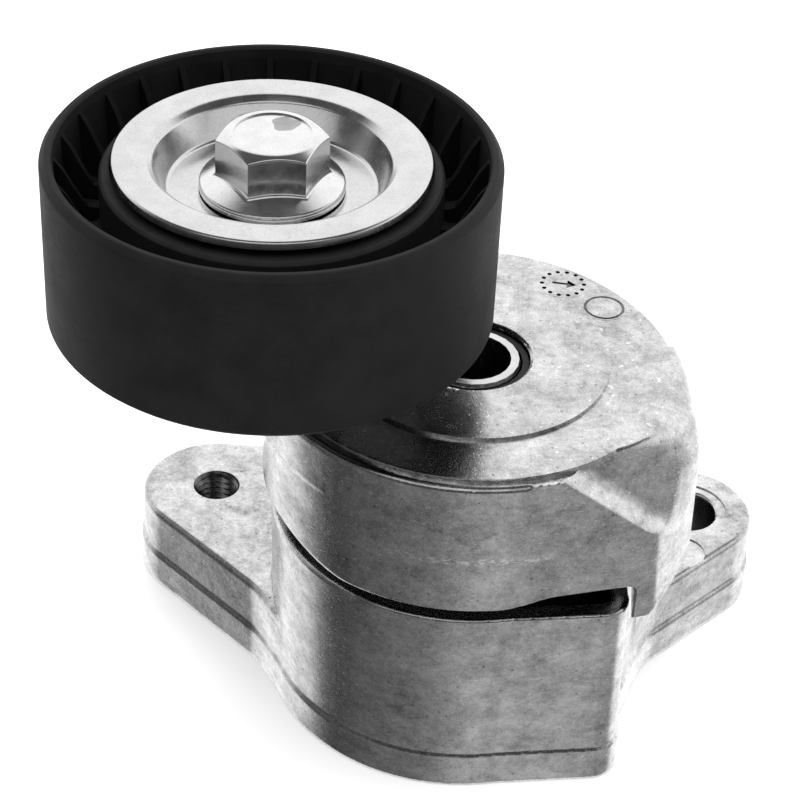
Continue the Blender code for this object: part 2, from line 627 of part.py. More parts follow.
def make_bolt():
    """Flanged hexagon bolt: shank, flange, and a head with its corners chamfered."""
    shank = [(0.0, HEX_BOTTOM_Z + 0.0010), (0.0080, HEX_BOTTOM_Z + 0.0010),
             (FLANGE_RADIUS - 0.0004, FLANGE_BOTTOM_Z + 0.0012), (FLANGE_RADIUS, FLANGE_BOTTOM_Z + 0.0008),
             (FLANGE_RADIUS, FLANGE_BOTTOM_Z + 0.0003), (FLANGE_RADIUS - 0.0003, FLANGE_BOTTOM_Z),
             (THREAD_RADIUS, FLANGE_BOTTOM_Z), (THREAD_RADIUS, 0.0650), (THREAD_RADIUS - 0.0008, 0.0640),
             (0.0, 0.0640)]
    bolt = turned("pulley_bolt", shank, ZINC, axis=PULLEY_AXIS)
    middle = (HEX_BOTTOM_Z - 0.0010 + BOLT_TOP_Z) / 2
    mesh = bpy.data.meshes.new("hex_head")
    shape = bmesh.new()
    turn = Matrix.Rotation(math.radians(33), 4, 'Z')
    bmesh.ops.create_cone(shape, cap_ends=True, segments=6, radius1=HEX_CORNER_RADIUS,
                          radius2=HEX_CORNER_RADIUS, depth=BOLT_TOP_Z - HEX_BOTTOM_Z + 0.0010,
                          matrix=Matrix.Translation((0.0, 0.0, middle)) @ turn)
    shape.to_mesh(mesh)
    shape.free()
    head = add_object("hex_head", mesh, cutter=True)
    head.location = (*PULLEY_AXIS, 0.0)
    chamfer = [(0.0, BOLT_TOP_Z), (0.0063, BOLT_TOP_Z), (0.0092, BOLT_TOP_Z - 0.0017),
               (0.0092, 0.0), (0.0, 0.0)]
    combine(head, turned("head_chamfer", chamfer, axis=PULLEY_AXIS, cutter=True), 'INTERSECT')
    join(bolt, head)


def shade_round_pieces():
    for thing in parts.objects:
        thing.data.shade_smooth()
        thing.data.set_sharp_from_angle(angle=math.radians(35))


make_base()
make_pivot()
make_damping()
make_spring()
make_arm()
make_pulley()
make_bearing()
make_stack()
shade_round_pieces()
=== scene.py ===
"""Looks of the belt tensioner idler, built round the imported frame.

Shapes are worked out in millimetres in the frame's own axes: Z is the arm's pivot axis and
Z = 0 is the face that bolts to the engine. The two castings are fields of signed distance,
meshed by contour(); round pieces are turned profiles.
"""
import json
import math

import bpy
import numpy as np
from mathutils import Matrix, Vector


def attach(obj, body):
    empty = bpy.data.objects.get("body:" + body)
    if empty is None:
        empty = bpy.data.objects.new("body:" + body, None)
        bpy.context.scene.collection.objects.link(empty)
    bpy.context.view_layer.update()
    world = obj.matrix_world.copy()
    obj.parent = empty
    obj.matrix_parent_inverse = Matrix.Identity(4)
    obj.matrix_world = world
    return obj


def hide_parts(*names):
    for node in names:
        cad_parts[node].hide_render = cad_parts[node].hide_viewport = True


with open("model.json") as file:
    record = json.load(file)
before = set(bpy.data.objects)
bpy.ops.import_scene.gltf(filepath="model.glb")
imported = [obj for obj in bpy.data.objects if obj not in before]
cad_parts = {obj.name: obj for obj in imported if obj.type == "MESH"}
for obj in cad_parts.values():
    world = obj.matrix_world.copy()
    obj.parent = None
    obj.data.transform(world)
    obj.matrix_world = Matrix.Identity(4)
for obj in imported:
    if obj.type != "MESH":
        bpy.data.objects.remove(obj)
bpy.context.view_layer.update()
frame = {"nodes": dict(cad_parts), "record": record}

MM = 0.001
PULLEY_X, PULLEY_Y = -32.2, -4.0
CASTING_GRID, HEAD_GRID, STAMP_GRID = 0.38, 0.16, 0.13      # cell sizes of the meshed fields
DIAGONAL = 0.7071               # cosine of 45 degrees


# ---- making meshes ----------------------------------------------------------------
def add_piece(name, vertices, faces, body, material, instead_of=(), sharp=None, second=None):
    """Make a mesh piece from millimetre points, put it on its body and say what it stands for.
    second is a material and a test of a face's centre that picks the faces it covers."""
    mesh = bpy.data.meshes.new(name)
    vertices = np.asarray(vertices, float) * MM
    if isinstance(faces, np.ndarray):
        mesh.vertices.add(len(vertices))
        mesh.vertices.foreach_set("co", vertices.ravel())
        mesh.loops.add(faces.size)
        mesh.loops.foreach_set("vertex_index", faces.ravel())
        mesh.polygons.add(len(faces))
        mesh.polygons.foreach_set("loop_start", np.arange(0, faces.size, faces.shape[1]))
        mesh.update(calc_edges=True)
    else:
        mesh.from_pydata(vertices.tolist(), [], faces)
    mesh.validate()
    mesh.shade_smooth()
    if sharp is not None:
        mesh.set_sharp_from_angle(angle=math.radians(sharp))
    mesh.materials.append(material)
    if second is not None:
        mesh.materials.append(second[0])
        centres = np.empty(len(mesh.polygons) * 3)
        mesh.polygons.foreach_get("center", centres)
        chosen = second[1](*(centres.reshape(-1, 3).T / MM))
        mesh.polygons.foreach_set("material_index", chosen.astype(np.int32))
    piece = bpy.data.objects.new(name, mesh)
    bpy.context.scene.collection.objects.link(piece)
    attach(piece, body)
    if instead_of:
        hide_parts(*instead_of)


def grid_faces(rows, columns):
    """Quads of a grid of points whose rows and columns both wrap round."""
    i, j = np.meshgrid(np.arange(rows), np.arange(columns), indexing="ij")
    following = (i + 1) % rows
    right = (j + 1) % columns
    faces = np.stack([i * columns + j, following * columns + j,
                      following * columns + right, i * columns + right], -1)
    return faces.reshape(-1, 4)


def rounded(corners):
    """A closed profile whose corners (radius, z, rounding) are arcs."""
    steps = 5
    points = []
    count = len(corners)
    for index, (x, z, size) in enumerate(corners):
        here = np.array([x, z])
        if size <= 0:
            points.append(here)
            continue
        before = np.array(corners[index - 1][:2]) - here
        after = np.array(corners[(index + 1) % count][:2]) - here
        before /= np.linalg.norm(before)
        after /= np.linalg.norm(after)
        half = math.acos(np.clip(before @ after, -1, 1)) / 2
        reach = size / math.tan(half)
        middle = here + (before + after) / np.linalg.norm(before + after) * size / math.sin(half)
        first = here + before * reach - middle
        last = here + after * reach - middle
        turn = math.atan2(first[0] * last[1] - first[1] * last[0], first @ last)
        for step in range(steps + 1):
            angle = turn * step / steps
            cos, sin = math.cos(angle), math.sin(angle)
            points.append(middle + (first[0] * cos - first[1] * sin, first[0] * sin + first[1] * cos))
    return np.array(points)


def lathe(profile, segments, x, y, wobble):
    """Turn a closed (radius, z) profile round an upright axis. Gives points and faces.
    wobble takes the points' radii, heights and angles and gives new radii and heights."""
    angle = np.arange(segments) * 2 * math.pi / segments
    radius = profile[:, :1] * np.ones(segments)
    height = profile[:, 1:] * np.ones(segments)
    if wobble is not None:
        radius, height = wobble(radius, height, angle)
    points = np.stack([x + radius * np.cos(angle), y + radius * np.sin(angle), height], -1)
    return points.reshape(-1, 3), grid_faces(len(profile), segments)


def contour(field, low, high, step):
    """Mesh the surface where a field is zero. Each crossed cell gets one point, set by the
    tangent planes where its edges cross the surface, so sharp edges stay sharp."""
    block = 4                   # cells along one side of a coarse block
    reach = 1.3                 # blocks from the surface within which the field is worked out finely
    rounds = 3                  # steps of closing in on each crossing
    nudge = step * 0.04         # offset for the field's slope
    hold = 0.06                 # pull to the middle of the crossings, where the planes leave a point free
    stray = 0.1 * step          # how far a point may leave its cell
    axes = []
    for a, b in zip(low, high):
        count = int(math.ceil((b - a) / step / block) + 1) * block
        axes.append(a + step * np.arange(count))
    middles = [axis.reshape(-1, block).mean(1) for axis in axes]
    values = field(*np.meshgrid(*middles, indexing="ij"))
    for axis in range(3):
        values = np.repeat(values, block, axis)
    near = np.nonzero(np.abs(values) < step * block * reach)
    values[near] = field(*[axis[index] for axis, index in zip(axes, near)])
    inside = values < 0

    cells = [n - 1 for n in inside.shape]
    some = np.zeros(cells, bool)
    every = np.ones(cells, bool)
    for dx in (0, 1):
        for dy in (0, 1):
            for dz in (0, 1):
                part = inside[dx:dx + cells[0], dy:dy + cells[1], dz:dz + cells[2]]
                some |= part
                every &= part
    crossed = some & ~every
    index_of = np.full(cells, -1, np.int64)
    places = np.nonzero(crossed)
    total = len(places[0])
    index_of[places] = np.arange(total)

    quads = []
    normals, points, owners = [], [], []
    for axis in range(3):
        u, v = (axis + 1) % 3, (axis + 2) % 3
        first = [slice(None)] * 3
        second = [slice(None)] * 3
        first[axis] = slice(None, -1)
        second[axis] = slice(1, None)
        start = inside[tuple(first)]
        edge = np.array(np.nonzero(start != inside[tuple(second)]))
        ahead = edge.copy()
        ahead[axis] += 1
        value_a = values[tuple(edge)].astype(float)
        value_b = values[tuple(ahead)].astype(float)
        share_a = np.zeros(len(value_a))
        share_b = np.ones(len(value_a))
        origin = np.stack([axes[n][edge[n]] for n in range(3)], -1)
        for _ in range(rounds):
            share = share_a + (share_b - share_a) * value_a / (value_a - value_b)
            point = origin.copy()
            point[:, axis] += share * step
            value = field(*point.T)
            same = (value < 0) == (value_a < 0)
            share_a = np.where(same, share, share_a)
            value_a = np.where(same, value, value_a)
            share_b = np.where(same, share_b, share)
            value_b = np.where(same, value_b, np.where(value == 0, -value_a * 1e-6, value))
        slope = np.empty_like(point)
        for n in range(3):
            offset = np.zeros(3)
            offset[n] = nudge
            slope[:, n] = field(*(point + offset).T) - field(*(point - offset).T)
        slope /= np.maximum(np.linalg.norm(slope, axis=1, keepdims=True), 1e-9)
        corner = []
        for du, dv in ((-1, -1), (0, -1), (0, 0), (-1, 0)):
            cell = edge.copy()
            cell[u] += du
            cell[v] += dv
            corner.append(index_of[tuple(cell)])
        corner = np.stack(corner, -1)
        outward = start[tuple(edge)]
        quads.append(np.where(outward[:, None], corner, corner[:, ::-1]))
        for n in range(4):
            owners.append(corner[:, n])
            points.append(point)
            normals.append(slope)

    owners = np.concatenate(owners)
    points = np.concatenate(points)
    normals = np.concatenate(normals)

    def gather(weights):
        return np.bincount(owners, weights, minlength=total)

    number = gather(np.ones(len(owners)))
    centre = np.stack([gather(points[:, n]) / number for n in range(3)], -1)
    offset = np.einsum("ij,ij->i", normals, points - centre[owners])
    square = np.empty((total, 3, 3))
    for a in range(3):
        for b in range(a, 3):
            square[:, a, b] = square[:, b, a] = gather(normals[:, a] * normals[:, b])
    target = np.stack([gather(normals[:, n] * offset) for n in range(3)], -1)
    square += np.eye(3) * hold
    shift = np.linalg.solve(square, target[..., None])[..., 0]
    vertices = centre + shift
    cell_low = np.stack([axes[n][places[n]] for n in range(3)], -1)
    vertices = np.clip(vertices, cell_low - stray, cell_low + step + stray)
    return vertices, np.concatenate(quads)


# ---- joining fields ---------------------------------------------------------------
def hollow_join(a, b, radius):
    """Union of two fields with a hollow fillet where they meet squarely."""
    return (np.maximum(radius, np.minimum(a, b))
            - np.hypot(np.maximum(radius - a, 0), np.maximum(radius - b, 0)))


def round_meet(a, b, radius):
    """Overlap of two fields with a rounded edge."""
    return -hollow_join(-a, -b, radius)


def ease(value, start, end):
    """0 before start, 1 after end, and a smooth rise between them."""
    share = np.clip((value - start) / (end - start), 0, 1)
    return share * share * (3 - 2 * share)


def over(x, y, z, face):
    """Height above the flat face a x + b y + c z = d, given as (a, b, c, d)."""
    a, b, c, d = face
    return a * x + b * y + c * z - d


def plane_through(x, y, z, a, b, c):
    """Height above the plane through three points, measured square to it."""
    normal = np.cross(np.subtract(b, a), np.subtract(c, a))
    normal = normal / np.linalg.norm(normal)
    if normal[2] < 0:
        normal = -normal
    return (x - a[0]) * normal[0] + (y - a[1]) * normal[1] + (z - a[2]) * normal[2]


def capsule(x, y, start, end, radius_a, radius_b):
    """Plan distance to two discs and the straight sides that touch both."""
    dx, dy = end[0] - start[0], end[1] - start[1]
    length = math.hypot(dx, dy)
    along = ((x - start[0]) * dx + (y - start[1]) * dy) / length
    across = np.abs((x - start[0]) * dy - (y - start[1]) * dx) / length
    lean = (radius_a - radius_b) / length
    side = math.sqrt(1 - lean * lean)
    place = along * side - across * lean
    distance = np.where(place < 0, np.hypot(along, across) - radius_a,
                        np.where(place > side * length, np.hypot(along - length, across) - radius_b,
                                 along * lean + across * side - radius_a))
    return distance


# ---- arm casting --------------------------------------------------------------------
ARM_LOW, ARM_HIGH = (-48.0, -35.5, 22.5), (41.0, 35.0, 81.5)
WALL, LEDGE_Z = 33.5, 63.85                 # the cap's wall and the ledge at its upper edge
RING_RADIUS, RING_Z = 31.95, 64.7           # the cap's top inside the ledge
DISC_RADIUS, DISC_Z = 22.4, 65.25           # the raised land round the bore
RIM_LOW_Z, TANG_SWEEP, NECK_SWEEP = 39.3, 1.5, 2.7      # the cap's lower edge, and how far it rises
ROOM_RADIUS, ROOM_Z = 29.8, 59.5            # the hollow under the cap
HUB_RADIUS, HUB_LOW_Z, HUB_HIGH_Z = 13.2, 23.5, 62
BORE_RADIUS, BORE_MOUTH = 9.5, 9.95
STAMP, STAMP_RADIUS, STAMP_DEPTH = (15.3, 22.9), 4.35, 0.6
MARK, MARK_RADIUS, MARK_DEPTH = (22.0, 16.2), 3.2, 0.5

# The tang at the cap's right front. A flat face is (a, b, c, d), for a x + b y + c z = d.
TANG_X, TANG_Y = 0.2756, 0.9613             # its front faces (TANG_X, -TANG_Y)
TANG_FRONT = (TANG_X, -TANG_Y, 0, WALL)
TANG_REAR = (0.987, 0.1606, 0, 34.6)
TANG_SLOPE = (0.80, -0.14, 0.583, 66.2)
TANG_NEAR = (0.626, -0.693, 0.36, 54.3)
TANG_FAR = (0.705, -0.513, 0.489, 62.0)
TANG_RADIUS, TANG_DRAFT, TANG_DRAFT_Z = 39.55, 0.034, 50
TANG_HIGH_Y, HOLLOW_LOW_X = 6, 16.5
CUT_LOW_X, CUT_HIGH_Y = 14.0, -19.0         # the part of the cap's wall that its planes cut
LEDGE_NORMAL, LEDGE_POINT = (0.651, -0.452, 0.61), (14.04, -30.82, 63.9)
HOLLOW_CORNERS = ((17.98, -26.63, 62.8), (29.76, -23.36, 52.63), (25.54, -21.21, RING_Z))
TIP_X, TIP_RADIUS = 27.4, 32.7              # the finger that hangs beside the base's lobe
TIP_Z, TIP_RISE, TIP_RISE_Y, TIP_SCALE = 34.0, 0.6, -26.0, 0.86

# The neck from the cap to the pulley's post. Its front runs along (NECK_X, -NECK_Y).
NECK_X, NECK_Y = 0.527, 0.85
NECK_PROUD = 0.3                            # how far the front stands out of the cap's wall
NECK_BACK = (-0.62, 0.785, 0, 31.32)
NECK_END = 9.5                              # the front's end, measured along it
NECK_Z, NECK_DROP = 64.4, 0.7               # its top, and how much lower that is at the cap
WEB_LOW_X, WEB_HIGH_X = -38.0, -10
RIB_Z, RIB_X, RIB_SLANT, RIB_SCALE = 54.9, -32.3, 1.5, 0.555
PLATE_RADIUS, PLATE_Z = 14.5, 61.5
POST_RADIUS, POST_LOW_Z, POST_Z = 11.2, 62.5, 80.0
POST_GROWTH, POST_GROWTH_LENGTH = 0.6, 15   # it widens towards its foot
POST_HOLE_RADIUS, POST_HOLE_Z = 5.2, 63.2


def tang_planes(x, y, z):
    """The tang's sloping ledge and the hollow's steep face behind it."""
    ledge = (LEDGE_NORMAL[0] * (x - LEDGE_POINT[0]) + LEDGE_NORMAL[1] * (y - LEDGE_POINT[1])
             + LEDGE_NORMAL[2] * (z - LEDGE_POINT[2]))
    hollow = plane_through(x, y, z, *HOLLOW_CORNERS)
    return np.maximum(ledge, z - LEDGE_Z), hollow


def arm_tang(x, y, z, radius, lower):
    """The stop tang: a block flush with the cap's wall, with a ledge, a hollow and a hanging tip."""
    side = radius - TANG_RADIUS - TANG_DRAFT * (TANG_DRAFT_Z - z)
    plan = round_meet(over(x, y, z, TANG_FRONT), side, 0.9)
    plan = round_meet(plan, over(x, y, z, TANG_REAR), 1.2)
    ledge, hollow = tang_planes(x, y, z)
    crown = round_meet(z - RING_Z, over(x, y, z, TANG_SLOPE), 4.0)
    behind = round_meet(hollow, over(x, y, z, TANG_NEAR), 0.8)
    behind = round_meet(behind, over(x, y, z, TANG_FAR), 1.0)
    behind = round_meet(behind, crown, 0.8 + 1.2 * ease(x, 25.0, 31.0))
    behind = np.maximum(behind, HOLLOW_LOW_X - x)
    top = hollow_join(ledge, behind, 0.6)
    edge = 0.3 + 1.6 * ease(x, 30.5, 34.0)
    block = round_meet(plan, top, edge)
    bounds = np.maximum(-(TANG_Y * x + TANG_X * y), y - TANG_HIGH_Y)
    tip = round_meet(TIP_X - x, TIP_RADIUS - radius, 0.5)
    tip_floor = TIP_SCALE * (TIP_Z + TIP_RISE * np.maximum(y - TIP_RISE_Y, 0) - z)
    under = hollow_join(round_meet(tip, tip_floor, 0.4), lower, 1.0)
    return round_meet(np.maximum(block, bounds), under, 0.6)


def arm_neck(x, y, z):
    """The neck: a thin plate under the pulley, a deeper rib from the cap, and the pulley's post.
    Also gives the distance from the pulley's axis."""
    boss = np.hypot(x - PULLEY_X, y - PULLEY_Y)
    along = NECK_X * x - NECK_Y * y
    flat = -NECK_Y * x - NECK_X * y - WALL - NECK_PROUD
    curved = np.hypot(x, y) - WALL - NECK_PROUD * (1 - ease(along, 0.0, 9.0))
    front = np.where(along < 0, flat, curved)
    web = np.maximum(np.maximum(front, over(x, y, z, NECK_BACK)),
                     np.maximum(WEB_LOW_X - x, x - WEB_HIGH_X))
    web = np.maximum(web, along - NECK_END)
    slant = (RIB_Z - z - RIB_SLANT * (x - RIB_X)) * RIB_SCALE
    rib = round_meet(web, np.maximum(RIB_Z - z, slant), 0.5)
    plate = round_meet(boss - PLATE_RADIUS, PLATE_Z - z, 0.8)
    neck = round_meet(hollow_join(plate, rib, 1.0), z - NECK_Z + NECK_DROP * ease(along, -6.0, 4.0), 0.9)
    taper = boss - POST_RADIUS - POST_GROWTH * np.clip((POST_Z - z) / POST_GROWTH_LENGTH, 0, 1)
    post = round_meet(taper, z - POST_Z, 0.5)
    post = np.maximum(post, POST_LOW_Z - z)
    return hollow_join(neck, post, 1.2), boss


def arm_field(x, y, z):
    """The whole arm. Fillets fade out where two surfaces almost coincide, as they would bulge there."""
    radius = np.hypot(x, y)
    sweep = TANG_SWEEP * ease(x, 6.0, 15.0) * (y < 0) + NECK_SWEEP * ease(-x, 18.0, 31.0)
    lower = RIM_LOW_Z + sweep - z
    wall = round_meet(radius - WALL, z - LEDGE_Z, 1.1)
    cut = np.minimum(*tang_planes(x, y, z))
    wall = np.maximum(wall, np.where((x > CUT_LOW_X) & (y < CUT_HIGH_Y), cut, -9.0))
    ring = np.maximum(radius - RING_RADIUS, z - RING_Z)
    disc = np.maximum(radius - DISC_RADIUS, z - DISC_Z)
    cup = np.minimum(np.minimum(wall, ring), disc)
    cup = round_meet(cup, lower, 0.8)
    neck, boss = arm_neck(x, y, z)
    solid = hollow_join(cup, neck, 0.5 - 0.48 * ease(z, 53.0, 57.0))
    fillet = 0.02 + 0.38 * ease(x, 16.0, 22.0) * (1 - ease(z, 57.0, 61.0))
    solid = hollow_join(solid, arm_tang(x, y, z, radius, lower), fillet)
    room = round_meet(radius - ROOM_RADIUS, z - ROOM_Z, 2.0)
    solid = np.maximum(solid, -room)
    hub = np.maximum(np.maximum(radius - HUB_RADIUS, HUB_LOW_Z - z), z - HUB_HIGH_Z)
    solid = hollow_join(solid, hub, 1.5)
    bore = radius - BORE_RADIUS
    chamfer = np.maximum((radius - BORE_MOUTH + DISC_Z - z) * DIAGONAL, z - DISC_Z - 0.5)
    solid = np.maximum(solid, -np.minimum(bore, chamfer))
    thread = np.maximum(boss - POST_HOLE_RADIUS, POST_HOLE_Z - z)
    pocket = np.hypot(x - STAMP[0], y - STAMP[1]) - STAMP_RADIUS + 0.25
    pocket = np.maximum(pocket, RING_Z - STAMP_DEPTH - z)
    mark = np.hypot(x - MARK[0], y - MARK[1]) - MARK_RADIUS - 0.3
    mark = np.maximum(mark, RING_Z - MARK_DEPTH - z)
    for hole in (thread, pocket, mark):
        solid = np.maximum(solid, -hole)
    return solid


def stamp_field(x, y, z):
    """Round die insert, flush with the arm's top, with a sunk ring of dots round a plain arrow."""
    dots, ring_radius, dot_radius = 14, 3.55, 0.38
    across, along = x - STAMP[0], y - STAMP[1]
    radius = np.hypot(across, along)
    plug = round_meet(radius - STAMP_RADIUS, z - RING_Z - 0.02, 0.08)
    plug = np.maximum(plug, RING_Z - 0.55 - z)
    sunk = np.full(np.shape(radius), 1e9)
    for index in range(dots):
        angle = 2 * math.pi * index / dots
        dot = np.hypot(across - ring_radius * math.cos(angle), along - ring_radius * math.sin(angle))
        sunk = np.minimum(sunk, dot - dot_radius)
    turn = math.radians(-8)
    u = across * math.cos(turn) + along * math.sin(turn)
    v = along * math.cos(turn) - across * math.sin(turn)
    shaft = np.maximum(np.abs(v) - 0.26, np.abs(u) - 1.8)
    head = np.maximum(np.abs(v) * 0.8 + (u - 2.3) * 0.6, 0.7 - u)
    sunk = np.minimum(sunk, np.minimum(shaft, head))
    return np.maximum(plug, -np.maximum(sunk, RING_Z - 0.3 - z))


# ---- base casting -------------------------------------------------------------------
BASE_LOW, BASE_HIGH = (-58.5, -33.5, -0.8), (54.5, 39.5, 37.5)
RIM_Z, EAR_Z, BAND_Z = 36.25, 16.0, 6.6     # the cup's rim, the ears' top, the step round the foot
EAR_LEFT, LEFT_RADIUS, TAPPED_RADIUS = (-43.75, 25.0), 13.2, 4.35
EAR_RIGHT, RIGHT_RADIUS, BOLT_RADIUS = (41.5, 24.8), 12.0, 5.6
SPOT_RADIUS, SPOT_DEPTH, FLARE_RADIUS = 7.5, 0.28, 5.9
PIN, PIN_RADIUS, PIN_DEPTH = (40.2, 12.6), 4.0, 0.25
CUP_RADIUS, CUP_INSIDE_RADIUS, CUP_FLOOR_Z = 32.0, 28.4, 5.0
LOBE_FRONT = (0.1392, -0.9903, 0, 31.85)    # a flat face, as for the arm's tang
LOBE_X, LOBE_LOW_X, LOBE_HIGH_Y, LOBE_LEAN = 27.1, 2, -6, 0.033
LOBE_WALL, LOBE_FLOOR_Z = 3.0, 10.0
SPINE_RADIUS, SPINE_Z, SPINE_BORE = 13.5, 20.0, 8.3
FOOT_STEP, CUP_DRAFT, FOOT_DRAFT = 0.43, 0.015, 0.01


def ears_plan(x, y):
    """Plan of both ears: rounded ends, 45 degree fronts and one straight back."""
    run = 22.0
    left = capsule(x, y, EAR_LEFT, (EAR_LEFT[0] + run, EAR_LEFT[1] - run), LEFT_RADIUS, LEFT_RADIUS)
    right = capsule(x, y, EAR_RIGHT, (EAR_RIGHT[0] - run, EAR_RIGHT[1] - run), RIGHT_RADIUS, RIGHT_RADIUS)
    back = capsule(x, y, EAR_LEFT, EAR_RIGHT, LEFT_RADIUS, RIGHT_RADIUS)
    return np.minimum(np.minimum(left, right), back)


def lobe_plan(x, y, radius, z):
    """Plan of the cup with its stop lobe; the lobe's side leans out towards the foot."""
    side = x - LOBE_X - LOBE_LEAN * np.clip(RIM_Z - z, 0, RIM_Z)
    lobe = round_meet(over(x, y, z, LOBE_FRONT), side, 4.5)
    lobe = np.maximum(lobe, np.maximum(y - LOBE_HIGH_Y, LOBE_LOW_X - x))
    return np.minimum(lobe, radius - CUP_RADIUS)


def base_field(x, y, z):
    """The whole base: the cup and its lobe on a foot with two ears, hollow, with a blind spine."""
    radius = np.hypot(x, y)
    tower_plan = lobe_plan(x, y, radius, z) + CUP_DRAFT * np.clip(RIM_Z - z, 0, RIM_Z - BAND_Z)
    corner = 4.0 - 3.5 * ease(y, 6.0, 18.0)
    ears = ears_plan(x, y)
    step = FOOT_STEP * (1 - ease(z, BAND_Z - 0.5, BAND_Z + 0.4))
    foot_plan = hollow_join(ears, tower_plan, corner) - step
    foot = round_meet(foot_plan + FOOT_DRAFT * np.maximum(z - BAND_Z, 0), z - EAR_Z, 1.1)
    tower = round_meet(tower_plan, z - RIM_Z, 0.5)
    solid = hollow_join(foot, tower, 0.02 + 1.58 * ease(tower_plan - ears, 0.5, 4.0))
    solid = round_meet(solid, -z, 0.6)
    inside = round_meet(radius - CUP_INSIDE_RADIUS, CUP_FLOOR_Z - z, 1.5)
    inside = np.maximum(inside, -np.maximum(radius - SPINE_RADIUS, z - SPINE_Z))
    pocket = np.maximum(lobe_plan(x, y, radius, 36.0) + LOBE_WALL, LOBE_FLOOR_Z - z)
    pocket = np.maximum(pocket, LOBE_LOW_X - x)
    solid = round_meet(solid, -np.minimum(inside, pocket), 0.3)
    solid = np.maximum(solid, -np.maximum(radius - SPINE_BORE, CUP_FLOOR_Z - z))
    tapped = np.hypot(x - EAR_LEFT[0], y - EAR_LEFT[1]) - TAPPED_RADIUS
    bolt = np.hypot(x - EAR_RIGHT[0], y - EAR_RIGHT[1])
    flare = np.maximum((bolt - FLARE_RADIUS + EAR_Z - SPOT_DEPTH - z) * DIAGONAL, z - EAR_Z - 0.5)
    bolt_cut = np.minimum(bolt - BOLT_RADIUS, flare)
    spot = np.maximum(bolt - SPOT_RADIUS, EAR_Z - SPOT_DEPTH - z)
    pin = np.maximum(np.hypot(x - PIN[0], y - PIN[1]) - PIN_RADIUS, EAR_Z - PIN_DEPTH - z)
    for hole in (tapped, bolt_cut, spot, pin):
        solid = np.maximum(solid, -hole)
    return solid


# ---- tests of a face's centre, for the painted shade inside holes, recesses and the cup ---
# Faces inside the arm's bore, which get painted shade.
def in_arm_bore(x, y, z):
    return (np.hypot(x, y) < BORE_RADIUS + 0.2) & (z < DISC_Z - 0.6)


# Faces sunk into the date stamp, which get painted shade.
def in_stamp(x, y, z):
    return (z < RING_Z - 0.05) & (np.hypot(x - STAMP[0], y - STAMP[1]) < STAMP_RADIUS - 0.2)


# Faces in the base's bores and inside its cup, which get painted shade.
def in_base_bores(x, y, z):
    bolt = (np.hypot(x - EAR_RIGHT[0], y - EAR_RIGHT[1]) < BOLT_RADIUS + 0.2) & (z < EAR_Z - 1.0)
    spine = (np.hypot(x, y) < SPINE_BORE + 0.3) & (z > 4)
    cup = (np.hypot(x, y) < CUP_INSIDE_RADIUS + 0.6) & (z > 4) & (z < RIM_Z - 1.0)
    return bolt | spine | cup


# ---- pulley and the stack on its axis -------------------------------------------------
def turned_piece(name, corners, body, material, instead_of=(), segments=192, sharp=30,
                 at=(PULLEY_X, PULLEY_Y), wobble=None, second=None):
    """Make a round piece from the corners (radius, z, rounding) of its profile."""
    points, faces = lathe(rounded(corners), segments, at[0], at[1], wobble)
    add_piece(name, points, faces, body, material, instead_of, sharp, second)


def make_pulley(plastic, dark_plastic):
    """The pulley's rim, web and hub in one profile, and the ribs in its front and rear recesses."""
    ribs, first_rib, half_rib = 28, math.radians(4.9), 0.5
    outer = [(33.0, 103.1, 0.15), (33.35, 103.5, 0.12), (34.1, 103.5, 0.5), (35.0, 102.4, 0.9),
             (35.0, 76.4, 0.5), (34.1, 75.5, 0.3), (32.8, 75.5, 0.3), (32.6, 88.0, 1.2),
             (26.2, 88.0, 1.2), (26.2, 82.2, 0.3), (20.3, 82.2, 0.2), (20.3, 99.8, 0.2),
             (20.9, 100.2, 0.1), (25.7, 100.2, 0.4), (26.2, 99.7, 0.3), (26.2, 91.2, 1.2),
             (32.5, 91.2, 1.2), (32.8, 101.5, 0.8)]
    turned_piece("pulley_shell", outer, "pulley", plastic, ("pulley_body",), 256, 50)
    vertices, faces = [], []
    upper = [(25.9, 90.0), (33.2, 90.0), (33.2, 101.9), (32.6, 101.7), (31.4, 100.0), (30.0, 97.2),
             (28.9, 95.2), (28.0, 93.9), (27.0, 93.6), (25.9, 93.6)]
    lower = [(25.9, 84.0), (33.2, 79.5), (33.2, 89.0), (25.9, 89.0)]
    for index in range(ribs):
        turn = first_rib + 2 * math.pi * index / ribs
        cos, sin = math.cos(turn), math.sin(turn)
        for outline in (upper, lower):
            start = len(vertices)
            count = len(outline)
            for half in (-half_rib, half_rib):
                for radius, z in outline:
                    vertices.append((PULLEY_X + radius * cos - half * sin,
                                     PULLEY_Y + radius * sin + half * cos, z))
            faces.append([start + n for n in range(count)])
            faces.append([start + count + n for n in reversed(range(count))])
            for n in range(count):
                m = (n + 1) % count
                faces.append([start + m, start + n, start + count + n, start + count + m])
    add_piece("pulley_ribs", vertices, faces, "pulley", dark_plastic, sharp=30)


def make_stack(zinc, dark_steel):
    """The dished front dust shield and the flatter rear one."""
    shield = [(5.2, 97.1, 0), (16.2, 97.1, 0.8), (18.1, 101.7, 1.0), (19.2, 102.6, 1.2),
              (24.2, 102.6, 0.6), (24.6, 101.5, 0), (23.95, 101.5, 0), (23.9, 101.95, 0.2),
              (19.4, 101.95, 0.9), (18.6, 101.2, 0.9), (16.8, 96.4, 0.9), (5.2, 96.4, 0)]
    turned_piece("front_dust_shield_skin", shield, "arm", zinc,
                 ("front_dust_shield",), 256, 60)
    rear = [(5.2, 81.1, 0), (23.6, 81.1, 0.6), (24.4, 80.6, 0.5), (24.4, 78.9, 0), (23.6, 78.9, 0),
            (23.6, 80.3, 0.4), (5.2, 80.3, 0)]
    turned_piece("rear_dust_shield_skin", rear, "arm", dark_steel,
                 ("rear_dust_shield",), 192, 60)


